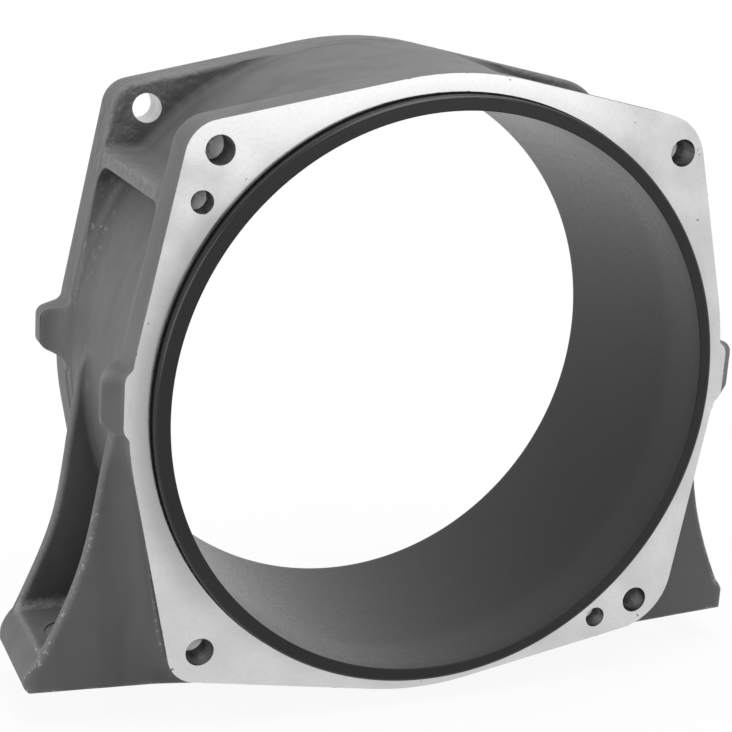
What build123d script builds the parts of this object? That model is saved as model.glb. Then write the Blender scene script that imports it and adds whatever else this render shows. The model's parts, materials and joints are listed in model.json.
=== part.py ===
from build123d import *
import os
from math import atan2, cos, hypot, pi, radians, sin, sqrt, tan

# Housing of a personal watercraft jet pump, with its pressed-in wear ring.
# The housing is one aluminium casting: a barrel between a machined front
# flange and a larger rear flange, carried on two hollow feet.
# X runs to the right, Y into the bore, Z up. The origin is where the bore
# axis meets the machined front face. All lengths are in millimetres.

# Wear ring: a plastic liner that stands proud of the front face. Its bore
# sets the size of the whole housing
ring_inner_radius = 77.8
ring_wall = 4.0
ring_bore_relief = 0.6
ring_lip_depth = 3.2
ring_lip_run = 2.0
ring_fit_gap = 0.05
ring_proud = 4.1
ring_rear_gap = 0.5
ring_outer_edge = 1.3
ring_inner_edge = 0.35

# How deep a blend reaches under the surface that it grows out of
fused_depth = 0.04

# Bore, and the barrel round it, which widens to the rear by a casting draft
bore_radius = ring_inner_radius + ring_wall
bore_chamfer = 0.5
housing_length = 73.0
barrel_front_wall = 4.9
barrel_rear_wall = 6.8
draft_start = 28.0
draft_blend_radius = 200.0

# Front flange: a rounded square whose sides are belts round the bore.
# Each side: centre X, centre Z and the rim left outside the bore
front_thickness = 13.0
front_side_right = (0.0, 3.0, 5.0)
front_side_top = (0.3, 0.0, 5.2)
front_side_left = (0.0, 0.0, 5.6)
front_side_bottom = (-1.8, 0.0, 3.6)
front_bolt_rim = 12.387
front_hole_diameter = 7.7
front_hole_depth = 9.6
dowel_rim = 6.98
dowel_angle = 37.22
dowel_diameter = 6.0
dowel_depth = 6.5
drill_point_angle = 118.0
cast_edge_radius = 1.5

# Each corner of a flange: how far its arc's centre lies inside the bolt
# hole in X and in Z, and the arc's radius
front_corner_top_right = (7.1, 3.6, 14.2)
front_corner_top_left = (1.0, 2.3, 10.0)
front_corner_bottom_left = (0.0, 0.0, 8.7)
front_corner_bottom_right = (6.3, 9.0, 18.0)

# Rear flange, larger than the front one
rear_thickness = 11.2
rear_side_right = (0.0, 0.0, 7.0)
rear_side_top = (-1.5, 0.0, 7.1)
rear_side_left = (0.0, 0.0, 7.4)
rear_side_bottom = (0.0, 0.0, 7.0)
rear_bolt_rim = 14.367
rear_corner_right = (8.4, 7.0, 17.9)
rear_corner_left = (-1.6, 1.2, 8.3)
rear_hole_diameter = 8.2

# Tie ribs that join the flanges beside the two upper corners
rib_below_front_hole = 12.2
rib_below_rear_hole = 12.1
rib_thickness = 3.4
rib_inset = 0.4
rib_root_radius = 3.0
rib_barrel_radius = 5.0
barrel_front_root = 3.2
barrel_rear_root = 5.5

# Feet. Heights are taken from the floor of the foot, and reaches from the bore
foot_front = 11.0
foot_rear = 47.0
foot_overhang = 28.0
foot_floor_rise = 14.0
foot_floor_outer = 10.7
foot_floor_inner = 13.1
foot_inner_side = 19.8
right_foot_inboard = 2.5
foot_corner_radius = 1.9
foot_end_front_radius = 4.0
foot_end_rear_radius = 2.5
foot_brow_top = (24.4, -1.2)
foot_brow = (26.4, -3.8)
foot_brow_bottom = -8.6
front_web_thickness = 3.4
rear_web_thickness = 4.0
front_web_flare = [(3.2, 71.8), (9.2, 45.8), (14.0, 23.3), (19.0, 9.8)]
rear_web_flare = [(4.0, 75.0), (7.6, 69.0), (8.5, 63.0), (10.5, 47.8), (14.2, 24.8), (19.6, 9.8)]
web_edge_radius = 1.3
pocket_radius = 2.0
pocket_rim_radius = 1.2
front_root_radius = 9.0
foot_hole_out = 12.8
foot_hole_y = 24.5
foot_hole_diameter = 8.0
foot_seat_diameter = 15.0
foot_seat_depth = 0.5

# Ears at half height of the front flange, wedges seen from above. Overhangs
# are taken from the bore
ear_overhang = 11.6
ear_pad_overhang = 6.9
ear_nose_start = 4.4
ear_nose_end = 6.6
ear_bottom = -4.8
ear_top = 9.8
ear_nose_radius = 1.0
ear_corner_radius = 4.0
ear_root_spread = 1.8
ear_root_radius = 2.2

# Lugs at half height of the rear flange, narrower at the tip
lug_overhang = 13.4
lug_root_bottom = -2.6
lug_root_top = 12.4
lug_tip_bottom = -0.2
lug_tip_top = 10.0
lug_thickness = 5.6
lug_sweep = 11.0
lug_corner_radius = 3.0
lug_root_radius = 3.0

barrel_radius = bore_radius + barrel_front_wall
barrel_rear_radius = bore_radius + barrel_rear_wall
front_hole_at = (bore_radius + front_bolt_rim) / sqrt(2)
rear_hole_at = (bore_radius + rear_bolt_rim) / sqrt(2)
rib_top_front = front_hole_at - rib_below_front_hole
rib_top_rear = rear_hole_at - rib_below_rear_hole
rear_front_face = housing_length - rear_thickness
foot_reach = bore_radius + foot_overhang
foot_floor = foot_floor_rise - bore_radius
foot_depth = foot_rear - foot_front
ring_outer_radius = bore_radius - ring_fit_gap
beyond = 2 * foot_reach


def circle_belt(circles):
    """Face inside a belt pulled round circles (x, z, radius), anticlockwise."""
    tangents = []
    for (xa, za, ra), (xb, zb, rb) in zip(circles, circles[1:] + circles[:1]):
        span = hypot(xb - xa, zb - za)
        along = ((xb - xa) / span, (zb - za) / span)
        lean = (ra - rb) / span
        away = sqrt(1 - lean * lean)
        normal = (along[0] * lean + along[1] * away, along[1] * lean - along[0] * away)
        leave = (xa + ra * normal[0], za + ra * normal[1])
        arrive = (xb + rb * normal[0], zb + rb * normal[1])
        tangents.append((leave, arrive, atan2(normal[1], normal[0])))
    edges = []
    for index, (x, z, radius) in enumerate(circles):
        _, arrive, start = tangents[index - 1]
        leave, next_arrive, end = tangents[index]
        middle = start + ((end - start) % (2 * pi)) / 2
        crown = (x + radius * cos(middle), z + radius * sin(middle))
        edges.append(ThreePointArc(arrive, crown, leave))
        edges.append(Line(leave, next_arrive))
    return make_face(Curve() + edges)


def flange_outline(sides, corners, hole_at, inset):
    """Flange outline from its right side round, pulled in by inset."""
    quarters = ((1, 1), (-1, 1), (-1, -1), (1, -1))
    circles = []
    for side, corner, (right, up) in zip(sides, corners, quarters):
        side_x, side_z, rim = side
        in_x, in_z, radius = corner
        circles.append((side_x, side_z, bore_radius + rim - inset))
        circles.append((right * (hole_at - in_x), up * (hole_at - in_z), radius - inset))
    return circle_belt(circles)


def front_outline(inset=0.0):
    """Outline of the front flange."""
    sides = [front_side_right, front_side_top, front_side_left, front_side_bottom]
    corners = [front_corner_top_right, front_corner_top_left,
               front_corner_bottom_left, front_corner_bottom_right]
    return flange_outline(sides, corners, front_hole_at, inset)


def rear_outline(inset=0.0):
    """Outline of the rear flange, with the same corners above and below the bore."""
    sides = [rear_side_right, rear_side_top, rear_side_left, rear_side_bottom]
    corners = [rear_corner_right, rear_corner_left, rear_corner_left, rear_corner_right]
    return flange_outline(sides, corners, rear_hole_at, inset)


def across_bore(face, y):
    """Face drawn in X and Z, stood up at one depth into the bore."""
    return Plane.XZ.offset(-y) * face


def along_bore(face, start, end):
    """Solid made by running a face in X and Z along the bore axis."""
    return extrude(across_bore(face, start), amount=-(end - start))


def bore_core():
    """Core of the bore, with the small chamfer at its mouth."""
    side = Polyline((0, -bore_chamfer), (bore_radius + 2 * bore_chamfer, -bore_chamfer),
                    (bore_radius, bore_chamfer), (bore_radius, beyond), (0, beyond), close=True)
    return revolve(make_face(side), Axis.Y)


def barrel(inset=0.0):
    """Solid barrel, straight and then drafted out to the rear, pulled in by inset."""
    front = barrel_radius - inset
    rear = barrel_rear_radius - inset
    side = Polyline((0, foot_front), (front, foot_front), (front, draft_start),
                    (rear, rear_front_face), (rear, housing_length), (0, housing_length), close=True)
    face = make_face(side)
    bend = face.vertices().sort_by_distance((front, draft_start))[0]
    return revolve(fillet(bend, draft_blend_radius), Axis.Y)


def barrel_radius_at(y):
    """Radius of the barrel's drafted part at one depth into the bore."""
    share = (y - draft_start) / (rear_front_face - draft_start)
    return barrel_radius + share * (barrel_rear_radius - barrel_radius)


def edges_at(solid, y):
    """Edges that lie in the plane at one depth into the bore."""
    return solid.edges().filter_by_position(Axis.Y, y - 0.01, y + 0.01)


def drill(x, z, diameter, depth):
    """Blind hole from the front face, with the cone that a drill leaves."""
    cone = diameter / 2 / tan(radians(drill_point_angle / 2))
    side = Polyline((0, 0), (diameter / 2, 0), (diameter / 2, -depth), (0, -depth - cone), close=True)
    bit = revolve(Plane.XZ * make_face(side), Axis.Z)
    return Pos(x, 0, z) * Rot(90, 0, 0) * bit


def front_flange():
    """Front flange with its cast rear edge rounded."""
    plate = along_bore(front_outline(), 0, front_thickness)
    return fillet(edges_at(plate, front_thickness), cast_edge_radius)


def rear_flange():
    """Rear flange with its cast front edge rounded."""
    plate = along_bore(rear_outline(), rear_front_face, housing_length)
    return fillet(edges_at(plate, rear_front_face), cast_edge_radius)


def flange_gap(front_z, rear_z, far_z):
    """Space outside the barrel between the flanges, from a sloping plane."""
    side = Polyline((front_thickness, front_z), (rear_front_face, rear_z),
                    (rear_front_face, far_z), (front_thickness, far_z), close=True)
    gap = extrude(Plane.YZ * make_face(side), amount=beyond, both=True)
    return gap - barrel(fused_depth)


def tie_ribs_and_roots():
    """Tie ribs with the fillets where the barrel runs into both flanges."""
    front = across_bore(front_outline(rib_inset), front_thickness)
    rear = across_bore(rear_outline(rib_inset), rear_front_face)
    stock = loft([front, rear], ruled=True)
    upper = flange_gap(rib_top_front, rib_top_rear, beyond)
    creases = upper.edges().filter_by(lambda edge: edge.bounding_box().size.Y > rear_thickness)
    creases = creases.filter_by_position(Axis.X, -barrel_rear_radius, barrel_rear_radius)
    upper = fillet(creases, rib_barrel_radius)
    ends = edges_at(upper, front_thickness) + edges_at(upper, rear_front_face)
    upper = fillet(ends, rib_root_radius)
    lower = flange_gap(rib_top_front - rib_thickness, rib_top_rear - rib_thickness, -beyond)
    lower = fillet(edges_at(lower, front_thickness), barrel_front_root)
    lower = fillet(edges_at(lower, rear_front_face), barrel_rear_root)
    return stock - upper - lower


def foot_point(out, rise):
    """Point of a foot, out from the bore's side and up from the foot's floor."""
    return (bore_radius + out, foot_floor + rise)


def foot_profile(web_flare):
    """Side profile of one foot, seen along the bore, for one of its webs."""
    flare = [foot_point(*point) for point in web_flare]
    brow_top = foot_point(*foot_brow_top)
    brow_end = (foot_reach, foot_floor + foot_brow_bottom)
    toe = (foot_reach, foot_floor - foot_floor_outer)
    heel = foot_point(-foot_inner_side, -foot_floor_inner)
    inner_top = (heel[0], flare[0][1])
    side = Spline(flare + [brow_top])
    brow = ThreePointArc(brow_top, foot_point(*foot_brow), brow_end)
    straight = Polyline(brow_end, toe, heel, inner_top, flare[0])
    face = make_face(Curve() + [side, brow, straight])
    corner = face.vertices().sort_by_distance(toe)[0]
    return fillet(corner, foot_corner_radius)


def foot_plan():
    """Plan of one foot, with its two outer corners rounded."""
    face = Pos(foot_reach / 2, foot_front + foot_depth / 2) * Rectangle(foot_reach, foot_depth)
    front_corner = face.vertices().sort_by_distance((foot_reach, foot_front))[0]
    face = fillet(front_corner, foot_end_front_radius)
    rear_corner = face.vertices().sort_by_distance((foot_reach, foot_rear))[0]
    return fillet(rear_corner, foot_end_rear_radius)


def flange_root_core():
    """Space in front of a foot, rounded where it meets the flange's side."""
    core = along_bore(Rectangle(2 * beyond, 2 * beyond), -beyond, foot_front)
    core -= along_bore(front_outline(), -2 * beyond, beyond)
    return fillet(edges_at(core, foot_front), front_root_radius)


def web_rim(body, y):
    """Outer edges of a web's face, below the bore axis."""
    outside = edges_at(body, y).filter_by(lambda edge: edge.position_at(0.5).X > bore_radius)
    return outside.filter_by(lambda edge: edge.position_at(0.5).Z < 0)


def foot_block():
    """Foot before it is hollowed: its front profile run into its rear one."""
    start = foot_front - front_root_radius - web_edge_radius
    front = across_bore(foot_profile(front_web_flare), start)
    rear = across_bore(foot_profile(rear_web_flare), foot_rear)
    block = loft([front, rear], ruled=True) - flange_root_core()
    block = fillet(web_rim(block, foot_front), web_edge_radius)
    return fillet(web_rim(block, foot_rear), web_edge_radius)


def foot_pocket():
    """Core of the hollow between the two webs of a foot."""
    start = foot_front + front_web_thickness
    end = foot_rear - rear_web_thickness
    face = Pos(beyond / 2, beyond / 2 + foot_floor) * Rectangle(beyond, beyond)
    core = along_bore(face, start, end) - barrel(fused_depth)
    return fillet(edges_at(core, start) + edges_at(core, end), pocket_radius)


def pocket_mouth(foot):
    """Edges where the outer side of a foot runs into its hollow."""
    start = foot_front + front_web_thickness
    end = foot_rear - rear_web_thickness

    def on_mouth(edge):
        middle = edge.position_at(0.5)
        between = start - 0.01 < middle.Y < end + 0.01
        below_axis = foot_floor - 0.01 < middle.Z < 0
        return between and below_axis and middle.X > barrel_rear_radius

    return foot.edges().filter_by(on_mouth)


def right_foot():
    """One hollow foot: two flared webs on a floor, with a bolt hole."""
    foot = foot_block() - foot_pocket()
    foot = fillet(pocket_mouth(foot), pocket_rim_radius)
    plan = extrude(Pos(0, 0, -beyond) * foot_plan(), amount=2 * beyond)
    foot &= plan + along_bore(Rectangle(2 * beyond, 2 * beyond), -beyond, foot_front)
    hole_at = Pos(bore_radius + foot_hole_out, foot_hole_y, foot_floor)
    seat = hole_at * Cylinder(foot_seat_diameter / 2, 2 * foot_seat_depth)
    hole = hole_at * Cylinder(foot_hole_diameter / 2, beyond)
    return foot - seat - hole


def tab_outline(rim, reach, heights, root_heights, root_radius, corner_radius):
    """Tab that grows out of a round rim on the right, seen along the bore."""
    points = [(0, 0), (sqrt(rim ** 2 - root_heights[0] ** 2), root_heights[0]), (reach, heights[0]),
              (reach, heights[1]), (sqrt(rim ** 2 - root_heights[1] ** 2), root_heights[1])]
    face = Circle(rim) + make_face(Polyline(points, close=True))
    roots = [face.vertices().sort_by_distance(point)[0] for point in (points[1], points[4])]
    face = fillet(roots, root_radius)
    face = fillet(face.vertices().sort_by(Axis.X)[-2:], corner_radius)
    low = root_heights[0] - root_radius
    high = root_heights[1] + root_radius
    return face & Pos(reach, (low + high) / 2) * Rectangle(reach, high - low)


def ear_outline(overhang, rim_width):
    """Outline of an ear at one depth, with the flange rim that it grows from."""
    rim = bore_radius + rim_width - fused_depth
    roots = (ear_bottom - ear_root_spread, ear_top + ear_root_spread)
    return tab_outline(rim, bore_radius + overhang, (ear_bottom, ear_top), roots,
                       ear_root_radius, ear_corner_radius)


def front_ear(rim_width):
    """Ear on the right of the front flange: a wedge with a blunt nose."""
    pad = across_bore(ear_outline(ear_pad_overhang, rim_width), 0)
    tip = ear_outline(ear_overhang, rim_width)
    ear = loft([pad, across_bore(tip, ear_nose_start)], ruled=True)
    ear += along_bore(tip, ear_nose_start, front_thickness)
    reach = bore_radius + ear_overhang
    plan = Polyline((0, 0), (bore_radius + ear_pad_overhang, 0), (reach, ear_nose_start),
                    (reach, ear_nose_end), (barrel_radius, front_thickness), (0, front_thickness),
                    close=True)
    plan = make_face(plan)
    corners = plan.vertices().sort_by(Axis.X)[-2:]
    plan = fillet(corners, ear_nose_radius)
    return ear & extrude(plan, amount=beyond, both=True)


def rear_lug(rim_width):
    """Lug on the right of the rear flange, swept up out of the barrel."""
    rim = bore_radius + rim_width - fused_depth
    reach = bore_radius + lug_overhang
    outline = tab_outline(rim, reach, (lug_tip_bottom, lug_tip_top), (lug_root_bottom, lug_root_top),
                          lug_root_radius, lug_corner_radius)
    face = housing_length - lug_thickness
    root = (barrel_radius_at(face - lug_sweep) - fused_depth, face - lug_sweep)
    sweep = TangentArc(root, (reach, face), tangent=(0, 1))
    straight = Polyline((reach, face), (2 * reach, face), (2 * reach, housing_length),
                        (0, housing_length), (0, face - lug_sweep), root)
    sweep = revolve(make_face(Curve() + [sweep, straight]), Axis.Y)
    return along_bore(outline, 0, housing_length) & sweep


def square_pattern(half):
    """The four corners of a square, as X and Z."""
    return [(right * half, up * half) for up in (1, -1) for right in (1, -1)]


def make_housing():
    """The casting with its machined face, bore and holes."""
    housing = barrel()
    housing += front_flange()
    housing += rear_flange()
    housing += tie_ribs_and_roots()
    foot = right_foot()
    housing += Pos(-right_foot_inboard, 0, 0) * foot
    housing += mirror(foot, Plane.YZ)
    housing += [front_ear(front_side_right[2]), rear_lug(rear_side_right[2])]
    left_side = [front_ear(front_side_left[2]), rear_lug(rear_side_left[2])]
    housing += [mirror(tab, Plane.YZ) for tab in left_side]
    housing -= bore_core()
    for x, z in square_pattern(front_hole_at):
        housing -= drill(x, z, front_hole_diameter, front_hole_depth)
    dowel_at = bore_radius + dowel_rim
    for angle in (180 - dowel_angle, dowel_angle - 90):
        x = dowel_at * cos(radians(angle))
        z = dowel_at * sin(radians(angle))
        housing -= drill(x, z, dowel_diameter, dowel_depth)
    for x, z in square_pattern(rear_hole_at):
        hole = along_bore(Pos(x, z) * Circle(rear_hole_diameter / 2), rear_front_face - rear_thickness,
                          housing_length + rear_thickness)
        housing -= hole
    return housing


def make_wear_ring():
    """The liner, turned from its section: radius against depth."""
    front = -ring_proud
    back = housing_length - ring_rear_gap
    wide = ring_inner_radius + ring_bore_relief
    lip_end = front + ring_lip_depth
    section = Polyline((ring_inner_radius, front), (ring_outer_radius, front),
                       (ring_outer_radius, back), (wide, back), (wide, lip_end + ring_lip_run),
                       (ring_inner_radius, lip_end), close=True)
    face = make_face(section)
    corners = face.vertices()
    outer = corners.sort_by_distance((ring_outer_radius, front))[0]
    face = fillet(outer, ring_outer_edge)
    inner = face.vertices().sort_by_distance((ring_inner_radius, front))[0]
    face = fillet(inner, ring_inner_edge)
    return revolve(face, Axis.Y)


if __name__ == "__main__":
    os.makedirs("parts", exist_ok=True)
    export_step(make_housing(), "parts/housing.step")
    export_step(make_wear_ring(), "parts/wear_ring.step")
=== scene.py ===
# %% [markdown]
# # Jet pump housing
# The object is one aluminium casting, painted dark grey, with a bright machined front face and a black plastic
# liner in its bore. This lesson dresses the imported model: it sets up the photographer's camera and a small studio,
# then makes the finishes and the two pieces that wear them.
# Lengths are in metres. X runs to the right, Y into the bore and Z up, from the bore's centre on the machined face.

# %% Load the frame
import json
from math import cos, pi, radians, sin

import bpy
import numpy as np
from mathutils import Matrix, Vector
from mathutils.kdtree import KDTree


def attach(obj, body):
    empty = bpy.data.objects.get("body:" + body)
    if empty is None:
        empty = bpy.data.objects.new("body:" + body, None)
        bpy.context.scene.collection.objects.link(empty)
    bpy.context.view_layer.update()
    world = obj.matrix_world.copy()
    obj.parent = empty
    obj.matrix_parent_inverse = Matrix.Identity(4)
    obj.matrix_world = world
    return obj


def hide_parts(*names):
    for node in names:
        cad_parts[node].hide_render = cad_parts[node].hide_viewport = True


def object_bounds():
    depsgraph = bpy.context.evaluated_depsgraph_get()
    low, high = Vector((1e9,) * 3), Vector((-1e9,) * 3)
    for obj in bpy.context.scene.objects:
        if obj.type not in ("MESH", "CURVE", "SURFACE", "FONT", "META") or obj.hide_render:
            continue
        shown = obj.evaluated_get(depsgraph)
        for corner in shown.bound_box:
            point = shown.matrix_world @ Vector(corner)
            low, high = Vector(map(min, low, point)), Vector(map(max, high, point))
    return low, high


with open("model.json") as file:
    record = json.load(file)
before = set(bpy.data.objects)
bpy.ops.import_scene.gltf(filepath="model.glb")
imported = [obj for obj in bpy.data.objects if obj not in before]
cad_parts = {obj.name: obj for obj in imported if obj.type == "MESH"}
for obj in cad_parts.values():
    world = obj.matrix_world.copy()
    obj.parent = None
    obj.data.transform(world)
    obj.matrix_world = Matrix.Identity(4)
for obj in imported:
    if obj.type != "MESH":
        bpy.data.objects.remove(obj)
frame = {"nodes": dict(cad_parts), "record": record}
cad_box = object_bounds()
scene = bpy.context.scene
print("CAD box", [tuple(round(v, 4) for v in corner) for corner in cad_box])

# %% [markdown]
# ## The camera
# A round bore and four bolt holes on a flat face say exactly where the photographer stood: to the left of the
# bore's axis, a little above it, and about half a metre away. The camera is pointed with three angles, and its
# frame is then slid sideways with the lens shift, because the picture was cropped off its centre. Turning the
# camera instead would move the object in the frame too, but it would also change which way parallel edges run
# together.

# %% Point the camera
CAMERA_PLACE = Vector((-0.19796, -0.40297, 0.13246))
CAMERA_TURN, CAMERA_DIP, CAMERA_ROLL = radians(26.094), radians(14.728), radians(4.466)
ahead = Vector((sin(CAMERA_TURN) * cos(CAMERA_DIP), cos(CAMERA_TURN) * cos(CAMERA_DIP), -sin(CAMERA_DIP)))
level = Vector((cos(CAMERA_TURN), -sin(CAMERA_TURN), 0))
right = level * cos(CAMERA_ROLL) + level.cross(ahead) * sin(CAMERA_ROLL)
up = right.cross(ahead)

lens = bpy.data.cameras.new("photo_camera")
lens.sensor_width, lens.lens = 36.0, 85.23
lens.shift_x, lens.shift_y = -0.11384, -0.02898
lens.clip_start = 0.01
camera = bpy.data.objects.new("photo_camera", lens)
camera.matrix_world = Matrix.Translation(CAMERA_PLACE) @ Matrix((right, up, -ahead)).transposed().to_4x4()
scene.collection.objects.link(camera)
scene.camera = camera
scene.view_settings.view_transform = "Standard"
print("camera looks along", tuple(round(v, 3) for v in ahead))

# %% [markdown]
# ## The lamps
# The light in the photo is soft and comes from above and from the left, a little behind the object: faces that
# look up are brightest, those that look left come next, and those that look at the camera are darkest. Large
# rectangles give that softness. The front lamp only fills, so glossy surfaces don't mirror it. A small, weak lamp
# beside it does show, because the machined face has a paler patch at its top, and a flat metal face shows nothing
# but what it mirrors.

# %% Soft lamps
MIDDLE, FACE_CENTRE, FACE_TOP = (0, 0.03, 0), (0, 0, 0), (0, 0, 0.03)


def soft_lamp(name, place, aim, width, height, watts):
    """A rectangular lamp at place, turned so that it faces aim."""
    lamp = bpy.data.lights.new(name, "AREA")
    lamp.shape, lamp.size, lamp.size_y, lamp.energy = "RECTANGLE", width, height, watts
    holder = bpy.data.objects.new(name, lamp)
    holder.location = place
    holder.rotation_euler = (Vector(aim) - Vector(place)).to_track_quat("-Z", "Y").to_euler()
    holder.visible_camera = False
    scene.collection.objects.link(holder)
    return holder


soft_lamp("lamp_above", (0.15, -0.05, 1.3), MIDDLE, width=1.2, height=1.0, watts=17)
soft_lamp("lamp_left", (-1.25, 0.14, 0.38), MIDDLE, width=0.8, height=1.0, watts=8.8)
soft_lamp("lamp_front", (0.10, -1.4, 0.5), FACE_CENTRE, width=1.2, height=1.0, watts=2.5).visible_glossy = False
soft_lamp("lamp_glint", (0.23, -0.75, 0.13), FACE_TOP, width=0.46, height=0.38, watts=0.40)

# %% [markdown]
# ## The white ground
# The photo has a plain white ground. A floor that is lit until it looks white would throw that much light back
# onto the casting and wash it out. So the world is white only for rays that come straight from the camera, off a
# glossy surface or through glass, and dim for the rays that carry light. The Light Path node tells them apart.

# %% Small helpers for node trees
def add(tree, kind, **settings):
    """A new node in a tree; settings are its properties."""
    node = tree.nodes.new(kind)
    for key, value in settings.items():
        setattr(node, key, value)
    return node


def feed(tree, socket, value):
    """Links value to the socket if it is a node's output, and writes it there if it is a plain number."""
    if isinstance(value, bpy.types.NodeSocket):
        tree.links.new(value, socket)
    else:
        socket.default_value = value


def maths(tree, operation, *values):
    """A Math node's result: the values are sockets or plain numbers."""
    node = add(tree, "ShaderNodeMath", operation=operation)
    for socket, value in zip(node.inputs, values):
        feed(tree, socket, value)
    return node.outputs[0]


def remap(tree, value, low, high, start, end, curve="SMOOTHSTEP"):
    """Carries value from the range low to high onto start to end, and holds it at both ends."""
    node = add(tree, "ShaderNodeMapRange", interpolation_type=curve)
    for socket, entry in zip(node.inputs, (value, low, high, start, end)):
        feed(tree, socket, entry)
    return node.outputs[0]


print("node helpers ready")

# %% White for the eye, pale grey for the light
LIGHT_GREY, LIGHT_STRENGTH = 0.9, 0.24


def seen_directly(tree):
    """1 for rays from the camera, off a glossy surface or through glass, and 0 for rays that only carry light."""
    path = add(tree, "ShaderNodeLightPath")
    seen = maths(tree, "MAXIMUM", path.outputs["Is Camera Ray"], path.outputs["Is Glossy Ray"])
    return maths(tree, "MAXIMUM", seen, path.outputs["Is Transmission Ray"])


world = bpy.data.worlds.new("studio")
scene.world = world
world.use_nodes = True
tree = world.node_tree
tree.nodes.clear()
pick, out = add(tree, "ShaderNodeMixShader"), add(tree, "ShaderNodeOutputWorld")
tree.links.new(seen_directly(tree), pick.inputs[0])
for slot, (grey, strength) in enumerate(((LIGHT_GREY, LIGHT_STRENGTH), (1.0, 1.0)), start=1):
    glow = add(tree, "ShaderNodeBackground")
    glow.inputs["Color"].default_value = (grey, grey, grey, 1)
    glow.inputs["Strength"].default_value = strength
    tree.links.new(glow.outputs[0], pick.inputs[slot])
tree.links.new(pick.outputs[0], out.inputs[0])
print("world", world.name)

# %% [markdown]
# The floor follows the same thought: it glows white where it is seen and is plain matte paper for the light. Close
# to the object a small part stays matte for the eye too, so the shadow under the feet is kept, and further out the
# sheet melts into the ground.

# %% A floor that keeps the shadow
FLOOR_HALF = 1.5
floor_height = cad_box[0].z
sheet = bpy.data.meshes.new("floor")
sheet.from_pydata([(x * FLOOR_HALF, y * FLOOR_HALF, floor_height) for x, y in ((-1, -1), (1, -1), (1, 1), (-1, 1))],
                  [], [(0, 1, 2, 3)])
floor = bpy.data.objects.new("floor", sheet)
scene.collection.objects.link(floor)
print("floor at", round(floor_height, 4))

# %% White paper
SHADOW_NEAR, SHADOW_FAR = 0.15, 0.45
GLOW_NEAR, GLOW_FAR = 0.93, 1.0
PAPER_GREY = 0.85
paper = bpy.data.materials.new("white_ground")
paper.use_nodes = True
tree = paper.node_tree
tree.nodes.clear()
matte, glow, blend, out = (add(tree, kind) for kind in (
    "ShaderNodeBsdfDiffuse", "ShaderNodeEmission", "ShaderNodeMixShader", "ShaderNodeOutputMaterial"))
matte.inputs["Color"].default_value = (PAPER_GREY, PAPER_GREY, PAPER_GREY, 1)
glow.inputs["Strength"].default_value = 1.0
away = add(tree, "ShaderNodeVectorMath", operation="LENGTH")
tree.links.new(add(tree, "ShaderNodeTexCoord").outputs["Object"], away.inputs[0])
share = remap(tree, away.outputs["Value"], SHADOW_NEAR, SHADOW_FAR, GLOW_NEAR, GLOW_FAR, "LINEAR")
tree.links.new(maths(tree, "MULTIPLY", seen_directly(tree), share), blend.inputs[0])
tree.links.new(matte.outputs[0], blend.inputs[1])
tree.links.new(glow.outputs[0], blend.inputs[2])
tree.links.new(blend.outputs[0], out.inputs[0])
sheet.materials.append(paper)
print("paper", paper.name)

# %% [markdown]
# ## Finishes
# Four finishes show: satin paint over a cast skin, bare machined metal, the walls of drilled holes, and black
# plastic. Each one is a material of its own. What they have in common is a node group, built once and given other
# values in each material. The first group makes fine grain and slow blotches. Images would need a flat unwrapping
# of a complicated casting, while a noise on the object's own coordinates needs none and has no seams.

# %% Grain and blotches, shared by all four
def node_group(name, ins, outs):
    """An empty shader group of number sockets: ins are (name, default) rows and outs are names."""
    group = bpy.data.node_groups.new(name, "ShaderNodeTree")
    for label, start in ins:
        socket = group.interface.new_socket(label, in_out="INPUT", socket_type="NodeSocketFloat")
        socket.default_value = start
    for label in outs:
        group.interface.new_socket(label, in_out="OUTPUT", socket_type="NodeSocketFloat")
    return group, group.nodes.new("NodeGroupInput"), group.nodes.new("NodeGroupOutput")


def noise_of(tree, scale, detail=2.0, distortion=0.0, stretch=1.0):
    """Noise on Object coordinates: scale is in waves to a metre, and stretch draws the pattern out in Z."""
    place = add(tree, "ShaderNodeTexCoord").outputs["Object"]
    if stretch != 1.0:
        drawn = add(tree, "ShaderNodeMapping")
        drawn.inputs["Scale"].default_value = (1, 1, 1 / stretch)
        tree.links.new(place, drawn.inputs["Vector"])
        place = drawn.outputs[0]
    node = add(tree, "ShaderNodeTexNoise")
    for label, value in (("Vector", place), ("Scale", scale), ("Detail", detail), ("Distortion", distortion)):
        feed(tree, node.inputs[label], value)
    return node.outputs[0]


surface_skin, skin_in, skin_out = node_group(
    "surface_skin", [("Grain Size", 900.0), ("Blotch Size", 40.0)], ["Grain", "Blotches"])
for size, detail, label in (("Grain Size", 2.0, "Grain"), ("Blotch Size", 3.0, "Blotches")):
    surface_skin.links.new(noise_of(surface_skin, skin_in.outputs[size], detail), skin_out.inputs[label])
print("group", surface_skin.name)

# %% [markdown]
# Wear starts at outer edges: paint gets thin there, and bits of it chip off. The second group reads how far the
# nearest outer edge is, which the casting's points will carry as the attribute edge_gap, makes that distance
# wander a little, and turns it into a soft rub and into small chips. A Bevel node can find edges too, but it works
# in one renderer only, and takes time at every render.

# %% Where an edge is near
rubbed_edges, rub_in, rub_out = node_group(
    "rubbed_edges", [("Rub Width", 0.001), ("Raggedness", 0.0005), ("Chip Size", 900.0), ("Chip Share", 0.4)],
    ["Rub", "Chips"])
WANDER_SIZE, CHIP_SOFTNESS = 500.0, 0.06

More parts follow.
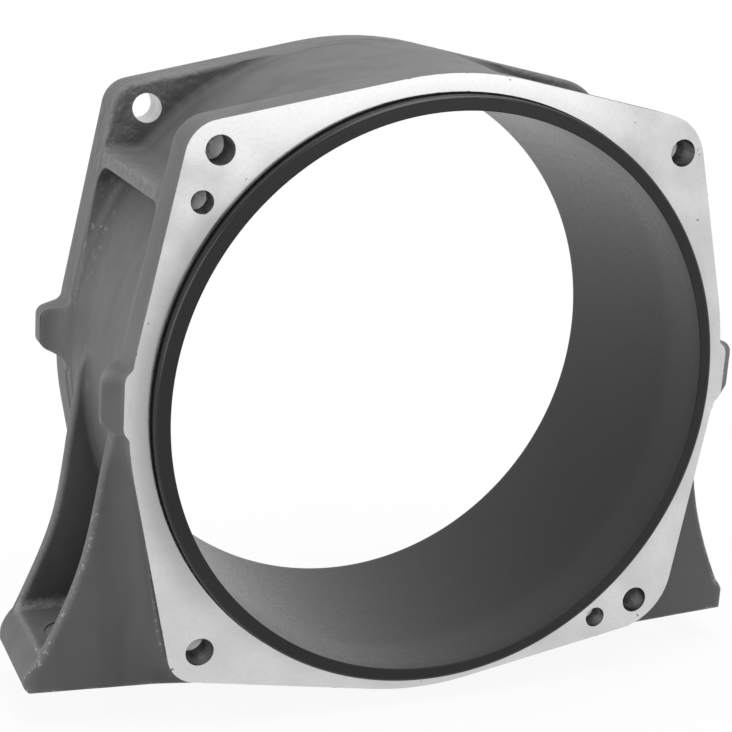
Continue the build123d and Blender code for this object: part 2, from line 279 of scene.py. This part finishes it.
gap = add(rubbed_edges, "ShaderNodeAttribute", attribute_name="edge_gap").outputs["Fac"]
sway = maths(rubbed_edges, "SUBTRACT", noise_of(rubbed_edges, WANDER_SIZE, detail=3.0), 0.5)
wander = maths(rubbed_edges, "MULTIPLY", sway, rub_in.outputs["Raggedness"])
rub = remap(rubbed_edges, maths(rubbed_edges, "ADD", gap, wander), 0.0, rub_in.outputs["Rub Width"], 1.0, 0.0)
rubbed_edges.links.new(rub, rub_out.inputs["Rub"])
crumbs = noise_of(rubbed_edges, rub_in.outputs["Chip Size"])
limit = maths(rubbed_edges, "SUBTRACT", 1.0, rub_in.outputs["Chip Share"])
chips = remap(rubbed_edges, maths(rubbed_edges, "MULTIPLY", crumbs, rub), limit,
              maths(rubbed_edges, "ADD", limit, CHIP_SOFTNESS), 0.0, 1.0)
rubbed_edges.links.new(chips, rub_out.inputs["Chips"])
print("group", rubbed_edges.name)

# %% Helpers that every finish uses
def ramp(tree, source, stops):
    """Carries a 0 to 1 value through greys: stops are (place, grey)."""
    node = add(tree, "ShaderNodeValToRGB")
    for element, (place, grey) in zip(node.color_ramp.elements, stops):
        element.position = place
        element.color = (grey, grey, grey, 1)
    tree.links.new(source, node.inputs[0])
    return node.outputs[0]


def tinted(tree, base, tints):
    """Lays greys over the base colour, one after another: tints are (share, grey), with nothing laid at share 0."""
    for share, grey in tints:
        node = add(tree, "ShaderNodeMix", data_type="RGBA")
        tree.links.new(share, node.inputs[0])
        tree.links.new(base, node.inputs[6])
        node.inputs[7].default_value = (grey, grey, grey, 1)
        base = node.outputs[2]
    return base


def skinned_material(name, grain, blotch, metallic, gloss, roughness, rough_by="Grain"):
    """A Principled material with the shared skin in it, whose roughness follows one of the skin's two patterns."""
    material = bpy.data.materials.new(name)
    material.use_nodes = True
    tree = material.node_tree
    shader = tree.nodes["Principled BSDF"]
    skin = add(tree, "ShaderNodeGroup", node_tree=surface_skin)
    skin.inputs["Grain Size"].default_value = grain
    skin.inputs["Blotch Size"].default_value = blotch
    shader.inputs["Metallic"].default_value = metallic
    shader.inputs["Specular IOR Level"].default_value = gloss
    tree.links.new(ramp(tree, skin.outputs[rough_by], roughness), shader.inputs["Roughness"])
    return material, tree, shader, skin


def raise_relief(tree, shader, height, distance):
    """Feeds height, 0 to 1, into the shader's normal as a relief of distance metres."""
    relief = add(tree, "ShaderNodeBump")
    relief.inputs["Distance"].default_value = distance
    tree.links.new(height, relief.inputs["Height"])
    tree.links.new(relief.outputs["Normal"], shader.inputs["Normal"])


print("finish helpers ready")

# %% Helpers that say where on the object a point is
def times(tree, *values):
    """All the values multiplied together."""
    product = values[0]
    for value in values[1:]:
        product = maths(tree, "MULTIPLY", product, value)
    return product


def step_length(tree, first, second):
    """The length of a step that goes first one way and second at right angles to it."""
    return maths(tree, "SQRT", maths(tree, "ADD", times(tree, first, first), times(tree, second, second)))


def between(tree, value, start, full, fade, end):
    """Rises from 0 to 1 between start and full, and falls back to 0 between fade and end."""
    return times(tree, remap(tree, value, start, full, 0.0, 1.0), remap(tree, value, fade, end, 1.0, 0.0))


def whereabouts(tree):
    """Object coordinates split up, and the distance from the bore's axis: (side, depth, height, radius)."""
    split = add(tree, "ShaderNodeSeparateXYZ")
    tree.links.new(add(tree, "ShaderNodeTexCoord").outputs["Object"], split.inputs[0])
    side, depth, height = (split.outputs[i] for i in range(3))
    return side, depth, height, step_length(tree, side, height)


def with_edges(tree, width, raggedness, size, share):
    """The edge group with its values set: (rub, chips)."""
    node = add(tree, "ShaderNodeGroup", node_tree=rubbed_edges)
    for socket, value in zip(node.inputs, (width, raggedness, size, share)):
        socket.default_value = value
    return node.outputs["Rub"], node.outputs["Chips"]


print("place helpers ready")

# %% [markdown]
# ### Paint over a cast skin
# The sand mould leaves a skin that is rough in the upper corners, where the mould crumbled, and smooth on the
# barrel, and the satin paint follows it. Dust settles in the rough places, and paint wears off first along edges,
# most of all low down, on the feet. Two more greys are painted light: a lighter line along the fillet where each
# foot's floor meets its rear web is a painted highlight, and a darker grey in the hollows below the ribs is painted
# shade. Each of these is a mask, a number from 0 to 1 made from where a point is, and each mask lays its own grey
# over the last one. Painting them by hand on an image would give more freedom, but the masks are sharp at any size
# and follow the model when a length changes.

# %% Masks of the paint
BARREL_TOP, CORNER_START = 0.0900, 0.0960
FRONT_FLANGE_BACK, REAR_FLANGE_FRONT = 0.0125, 0.0620
paint, tree, shader, skin = skinned_material(
    "grey_paint", grain=380, blotch=26, metallic=0.0, gloss=0.3, roughness=[(0.3, 0.50), (0.7, 0.54)])
side, depth, height, radius = whereabouts(tree)
crumbled = times(tree, remap(tree, radius, BARREL_TOP, CORNER_START, 0.0, 1.0),
                 remap(tree, height, 0.0, 0.03, 0.0, 1.0), remap(tree, depth, FRONT_FLANGE_BACK, 0.017, 0.0, 1.0))
dusty = times(tree, crumbled, remap(tree, depth, REAR_FLANGE_FRONT, 0.0640, 1.0, 0.0))
stains = remap(tree, noise_of(tree, 95.0, detail=3.0, distortion=0.3, stretch=3.5), 0.42, 0.72, 0.0, 0.45)
rub, chips = with_edges(tree, width=0.0016, raggedness=0.0006, size=1100.0, share=0.46)
knocked = times(tree, remap(tree, height, -0.015, -0.04, 0.0, 1.0), remap(tree, depth, 0.016, 0.020, 1.0, 0.25))
print("masks over the whole casting ready")

# %% Masks of single places: the bolt seats, a painted highlight at the feet's rear corners and painted shade in the hollows below the ribs
SEAT_SIDE, SEAT_DEPTH, SEAT_RADIUS, SEAT_HEIGHT = 0.0934, 0.0245, 0.0078, -0.067
CORNER_DEPTH, CORNER_HEIGHT = 0.0424, -0.0672
from_seat = step_length(tree, maths(tree, "SUBTRACT", maths(tree, "ABSOLUTE", side), SEAT_SIDE),
                        maths(tree, "SUBTRACT", depth, SEAT_DEPTH))
seat = times(tree, remap(tree, from_seat, SEAT_RADIUS, SEAT_RADIUS + 0.001, 1.0, 0.0),
             remap(tree, height, SEAT_HEIGHT + 0.001, SEAT_HEIGHT, 0.0, 1.0))
from_corner = step_length(tree, maths(tree, "SUBTRACT", depth, CORNER_DEPTH),
                          maths(tree, "SUBTRACT", height, CORNER_HEIGHT))
# painted highlight: a lighter, mottled line along the fillet where each foot's floor meets its rear web
corner_highlight = times(tree, remap(tree, from_corner, 0.0013, 0.0024, 0.6, 0.0),
              remap(tree, noise_of(tree, 700.0, detail=3.0), 0.35, 0.60, 0.25, 1.0))
# painted shade: the hollows below the ribs, where the barrel meets the rear flange, get a darker grey; grit gathers
# there too
hollow_shade_and_grit = times(tree, between(tree, depth, 0.0450, 0.0560, 0.0605, 0.0625),
               between(tree, height, 0.0, 0.030, 0.050, 0.053))
gritty = maths(tree, "ADD", maths(tree, "ADD", dusty, remap(tree, from_corner, 0.0012, 0.0034, 1.0, 0.0)), hollow_shade_and_grit)
grit = times(tree, remap(tree, noise_of(tree, 520.0, detail=4.0, distortion=0.4), 0.58, 0.66, 0.0, 0.4), gritty)
print("masks of single places ready")

# %% Greys and relief of the paint
base = tinted(tree, ramp(tree, skin.outputs["Blotches"], [(0.3, 0.090), (0.7, 0.112)]), (
    (stains, 0.066),
    (times(tree, dusty, 0.4), 0.19),
    (times(tree, rub, 0.22), 0.22),
    (times(tree, chips, knocked), 0.28),
    (times(tree, seat, 0.85), 0.18),
    # painted highlight along the feet's rear corners
    (corner_highlight, 0.24),
    # painted shade in the hollows below the ribs
    (times(tree, hollow_shade_and_grit, 0.55), 0.045),
    (grit, 0.27)))
tree.links.new(base, shader.inputs["Base Color"])
COARSE, WAVES, GRAIN, RELIEF = 26.0, 12.0, 0.05, 0.00004
coarse = times(tree, noise_of(tree, 230.0, detail=4.0, distortion=1.0), crumbled, COARSE)
waves = times(tree, noise_of(tree, 75.0, detail=1.0), WAVES)
grain = times(tree, skin.outputs["Grain"], GRAIN)
raise_relief(tree, shader, maths(tree, "ADD", maths(tree, "ADD", grain, waves), coarse), RELIEF)
print("paint", paint.name)

# %% [markdown]
# ### Machined metal
# A cutter faced the front flange after the paint was on, so the metal is bare, bright and flat, and its edges are a
# little ragged where the cutter broke out of the paint. Beside the liner the metal is painted darker, most of all at
# the left: a painted reflection and shade of the proud black liner. Metal has no colour of its own to hide behind:
# its look is a reflection, so its roughness follows the slow blotches, and small dull pits break up the shine.

# %% Bare metal
# how far from the bore's axis the painted reflection and shade of the liner reaches, at the left and elsewhere
LINER_EDGE, REFLECTION_REACH_LEFT, REFLECTION_REACH_ELSEWHERE = 0.0815, 0.0905, 0.0870
machined, tree, shader, skin = skinned_material(
    "machined_face", grain=800, blotch=70, metallic=1.0, gloss=0.5, roughness=[(0.35, 0.10), (0.65, 0.22)],
    rough_by="Blotches")
side, _, _, radius = whereabouts(tree)
# painted reflection and shade: the metal is painted darker beside the proud black liner, furthest and strongest at
# the left
reflection_reach = remap(tree, side, -0.080, -0.055, REFLECTION_REACH_LEFT, REFLECTION_REACH_ELSEWHERE)
reflection_share = remap(tree, side, -0.080, -0.055, 0.62, 0.15)
painted_liner_reflection = remap(tree, radius, LINER_EDGE, reflection_reach, reflection_share, 0.0)
dull = remap(tree, noise_of(tree, 900.0, detail=3.0), 0.35, 0.75, 0.0, 0.22)
pits = remap(tree, noise_of(tree, 330.0, detail=1.0), 0.755, 0.79, 0.0, 0.8)
_, chips = with_edges(tree, width=0.0006, raggedness=0.0004, size=480.0, share=0.39)
base = tinted(tree, ramp(tree, skin.outputs["Blotches"], [(0.3, 0.56), (0.7, 0.68)]),
              ((dull, 0.50), (painted_liner_reflection, 0.20), (pits, 0.12), (chips, 0.12)))
tree.links.new(base, shader.inputs["Base Color"])
raise_relief(tree, shader, skin.outputs["Grain"], 0.000006)
print("metal", machined.name)

# %% [markdown]
# ### Drilled walls and plastic
# A drill leaves a hole's wall bare too, but darker and rougher than the face, because little light gets in and the
# chips score it. The liner is moulded or turned plastic: black, satin and nearly even, so the shared skin alone is
# enough for it. Both are plain materials with the same few lines, which differ only in their numbers.

# %% Drilled metal and black plastic
def plain_finish(name, blotch, metallic, gloss, roughness, greys, relief):
    """A finish whose grey follows the blotches and whose relief is the grain, relief metres high."""
    material, tree, shader, skin = skinned_material(name, 900, blotch, metallic, gloss, roughness)
    tree.links.new(ramp(tree, skin.outputs["Blotches"], greys), shader.inputs["Base Color"])
    raise_relief(tree, shader, skin.outputs["Grain"], relief)
    return material


drilled_metal = plain_finish(
    "drilled_wall", blotch=200, metallic=1.0, gloss=0.5, roughness=[(0.3, 0.26), (0.7, 0.36)],
    greys=[(0.3, 0.36), (0.7, 0.52)], relief=0.00003)
plastic = plain_finish(
    "black_plastic", blotch=30, metallic=0.0, gloss=0.30, roughness=[(0.3, 0.26), (0.7, 0.34)],
    greys=[(0.3, 0.008), (0.7, 0.012)], relief=0.00002)
print("finishes", [m.name for m in (paint, machined, drilled_metal, plastic)])

# %% [markdown]
# ## The casting
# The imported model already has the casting's form, as loose triangles with exact normals. What it lacks is the split
# between paint and bare metal, and a way for a material to know that an edge is near. A shader can't measure that
# by itself, so each point of a copy carries its distance to the nearest outer edge. Between two points that number
# changes evenly, which is right only where the points are close, so the long triangles are halved first. A
# Subdivision modifier would cut the short ones too, and each of its levels makes four triangles of every one.

# %% Read the triangles
source = frame["nodes"]["housing"].data
face_count = len(source.polygons)
points = np.empty(len(source.vertices) * 3)
source.vertices.foreach_get("co", points)
used = np.empty(face_count * 3, np.int32)
source.loops.foreach_get("vertex_index", used)
tilts = np.empty(face_count * 9)
source.corner_normals.foreach_get("vector", tilts)
corners = points.reshape(-1, 3)[used].reshape(-1, 3, 3)
tilts = tilts.reshape(-1, 3, 3)
print("triangles in the packed casting", face_count)

# %% Halve the long ones
LONGEST_SIDE = 0.0036


def halved(corners, tilts, longest):
    """Splits each triangle at the middle of its longest side, until no side is longer than longest."""
    kept = []
    while len(corners):
        sides = np.linalg.norm(corners - np.roll(corners, -1, axis=1), axis=2)
        worst = sides.argmax(axis=1)
        split = sides.max(axis=1) > longest
        kept.append((corners[~split], tilts[~split]))
        rows, first = np.arange(split.sum()), worst[split]
        halves = []
        for values in (corners[split], tilts[split]):
            a, b, c = (values[rows, (first + turn) % 3] for turn in range(3))
            m = (a + b) / 2
            halves.append(np.concatenate([np.stack([a, m, c], 1), np.stack([m, b, c], 1)]))
        corners, tilts = halves
        tilts = tilts / np.maximum(np.linalg.norm(tilts, axis=2, keepdims=True), 1e-9)
    return np.concatenate([c for c, _ in kept]), np.concatenate([t for _, t in kept])


corners, tilts = halved(corners, tilts, LONGEST_SIDE)
print("triangles", face_count, "->", len(corners))

# %% Join them where they meet
_, joined = np.unique(np.round(corners.reshape(-1, 3) * 1e6), axis=0, return_inverse=True)
triangles = joined.reshape(-1, 3)
whole = (triangles != np.roll(triangles, -1, axis=1)).all(axis=1)
triangles, corners, tilts = triangles[whole], corners[whole], tilts[whole]
points = np.zeros((joined.max() + 1, 3))
points[triangles.ravel()] = corners.reshape(-1, 3)
print("points", len(points), "triangles", len(triangles))

# %% [markdown]
# An outer edge shows itself in two ways. At a sharp one, two flat triangles meet at an angle and their middles lie
# back from each other's planes. At a rounded one, the normals swing quickly along a triangle's side, and the rate
# of the swing is one over the rounding's radius.

# %% Find the outer edges
SHARP_TURN, TIGHT_RADIUS = radians(25), 0.0022
ends = np.sort(triangles[:, [[0, 1], [1, 2], [2, 0]]].reshape(-1, 2), axis=1)
owner = np.repeat(np.arange(len(triangles)), 3)
flat = np.cross(corners[:, 1] - corners[:, 0], corners[:, 2] - corners[:, 0])
flat /= np.maximum(np.linalg.norm(flat, axis=1, keepdims=True), 1e-15)
centres = corners.mean(axis=1)
order = np.lexsort(ends.T)
twins = np.flatnonzero((ends[order][1:] == ends[order][:-1]).all(axis=1))
one, other = owner[order[twins]], owner[order[twins + 1]]
bend = (flat[one] * flat[other]).sum(axis=1)
bulge = ((flat[one] - flat[other]) * (centres[one] - centres[other])).sum(axis=1)
sharp = ends[order[twins]][(bend < cos(SHARP_TURN)) & (bulge > 0)]
run = np.roll(corners, -1, axis=1) - corners
swing = ((np.roll(tilts, -1, axis=1) - tilts) * run).sum(axis=2) / np.maximum((run ** 2).sum(axis=2), 1e-12)
tight = swing > 1 / TIGHT_RADIUS
print("sharp edges", len(sharp), "tight bends", int(tight.sum()))

# %% Measure how far each point is from them
on_sharp = [points[sharp[:, 0]] * (1 - t) + points[sharp[:, 1]] * t for t in (0, 0.25, 0.5, 0.75)]
on_edge = np.concatenate(on_sharp + [(corners + run / 2)[tight]])
lookup = KDTree(len(on_edge))
for index, place in enumerate(on_edge):
    lookup.insert(place, index)
lookup.balance()
edge_gap = np.array([lookup.find(place)[2] for place in points])
print("edge distance up to", round(float(edge_gap.max()) * 1000, 1), "mm")

# %% Build the casting
body = bpy.data.meshes.new("casting")
body.from_pydata(points, [], triangles)
body.polygons.foreach_set("use_smooth", np.ones(len(triangles), bool))
body.normals_split_custom_set(tilts.reshape(-1, 3))
body.attributes.new("edge_gap", "FLOAT", "POINT").data.foreach_set("value", edge_gap)
for finish in (paint, machined, drilled_metal):
    body.materials.append(finish)
casting = bpy.data.objects.new("casting", body)
scene.collection.objects.link(casting)
print("casting has", len(body.polygons), "triangles")

# %% [markdown]
# The cutter and the drills touched only the front face and the holes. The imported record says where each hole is,
# so a triangle is a hole's wall when its middle is no further from the hole's axis than the hole's radius, and lies
# within the hole's depth. The bore itself is left out, because the liner hides it.

# %% Bare metal where a cutter or a drill went
HOLE_DEPTHS = {"bolt_pattern": 0.0125, "bore": 0.0065}
front_faced = (np.abs(centres[:, 1]) < 1e-5) & (flat[:, 1] < -0.99)
drilled = np.zeros(len(triangles), bool)
for mount in frame["record"]["mounts"]:
    sizes, place = mount["dims"], mount["pos_m"]
    if abs(mount["axis"][1]) < 1 or mount["kind"] not in HOLE_DEPTHS or mount["name"] == "impeller_bore":
        continue
    half = sizes.get("spacing_x_mm", 0.0) / 2000
    reach = sizes.get("hole_r_mm", sizes.get("r_mm")) / 1000 + 1e-5
    in_depth = np.abs(centres[:, 1] - place[1]) < HOLE_DEPTHS[mount["kind"]]
    for turn_x, turn_z in ((1, 1), (-1, 1), (-1, -1), (1, -1)):
        hole = np.array([place[0] + turn_x * half, place[2] + turn_z * half])
        drilled |= in_depth & (np.hypot(*(centres[:, [0, 2]] - hole).T) < reach)
body.polygons.foreach_set("material_index", np.where(drilled, 2, front_faced).astype(np.int32))
body.update()
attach(casting, "root")
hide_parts("housing")
print("machined triangles", int(front_faced.sum()), "drilled", int(drilled.sum()))

# %% [markdown]
# ## The liner
# The wear ring is turned: one section carried round the bore's axis. That is a surface of two parameters, the
# way along the section and the angle round the axis. It could be a Screw or Spin of a drawn outline, but worked out
# as an array its rounded edges get exactly the points that they need, and none are wasted on the straight wall.
# Its mouth narrows to a lip, and the slope behind the lip is drawn out so that it catches no hard line of light.

# %% The liner's section
LINER_CORNERS = [  # radius, depth and rounding, in mm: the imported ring's own, with a longer slope behind the lip
    (77.8, -4.1, 0.35), (81.75, -4.1, 1.3), (81.75, 72.5, 0.2), (78.4, 72.5, 0.2), (78.4, 14.0, 150.0),
    (77.8, -0.9, 80.0)]
ARC_POINTS, RUN_POINTS = 9, 8


def rounded_section(corners, arc_points, run_points):
    """A closed outline: at each corner an arc that touches both sides, then points along the next straight run."""
    ring = np.array(corners)
    here, before, after = ring[:, :2], np.roll(ring, 1, axis=0)[:, :2], np.roll(ring, -1, axis=0)[:, :2]
    back = (before - here) / np.linalg.norm(before - here, axis=1, keepdims=True)
    on = (after - here) / np.linalg.norm(after - here, axis=1, keepdims=True)
    half = np.arccos((back * on).sum(axis=1)) / 2
    reach = (ring[:, 2] / np.tan(half))[:, None]
    start, end = here + back * reach, here + on * reach
    inward = (back + on) / np.linalg.norm(back + on, axis=1, keepdims=True)
    centre = here + inward * (ring[:, 2] / np.sin(half))[:, None]
    t = np.linspace(0, 1, arc_points)[None, :, None]
    spread = (pi - 2 * half)[:, None, None]
    arcs = centre[:, None] + (np.sin((1 - t) * spread) * (start - centre)[:, None]
                              + np.sin(t * spread) * (end - centre)[:, None]) / np.sin(spread)
    s = (0.5 - 0.5 * np.cos(pi * np.linspace(0, 1, run_points + 2)[1:-1]))[None, :, None]
    runs = end[:, None] * (1 - s) + np.roll(start, -1, axis=0)[:, None] * s
    return np.concatenate([arcs, runs], axis=1).reshape(-1, 2)


section = rounded_section(LINER_CORNERS, ARC_POINTS, RUN_POINTS) / 1000
print("section points", len(section))

# %% Carry the section round the axis
STEPS_ROUND = 288


def turned(section, steps):
    """Each section point (radius, depth) goes round a circle: x = radius cos a, y = depth, z = radius sin a."""
    angle = np.linspace(0, 2 * pi, steps, endpoint=False)[:, None]
    radius, depth = section[None, :, 0], section[None, :, 1]
    return np.stack([radius * np.cos(angle), depth + 0 * angle, radius * np.sin(angle)], axis=2)


def closed_grid(name, places):
    """A mesh over a grid of points that closes both ways, with its faces turned outwards."""
    rows, columns = places.shape[:2]
    number = np.arange(rows * columns).reshape(rows, columns)
    across, along = np.roll(number, -1, axis=0), np.roll(number, -1, axis=1)
    quads = np.stack([number, along, np.roll(along, -1, axis=0), across], axis=2).reshape(-1, 4)
    flat = places.reshape(-1, 3)
    lean = np.cross(flat[quads[:, 1]] - flat[quads[:, 0]], flat[quads[:, 3]] - flat[quads[:, 0]])
    if (lean * flat[quads[:, 0]]).sum() < 0:
        quads = quads[:, ::-1]
    mesh = bpy.data.meshes.new(name)
    mesh.from_pydata(flat, [], quads)
    mesh.polygons.foreach_set("use_smooth", np.ones(len(quads), bool))
    return mesh


liner_mesh = closed_grid("liner", turned(section, STEPS_ROUND))
liner_mesh.materials.append(plastic)
liner = bpy.data.objects.new("liner", liner_mesh)
scene.collection.objects.link(liner)
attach(liner, "root")
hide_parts("wear_ring")
print("liner faces", len(liner_mesh.polygons))
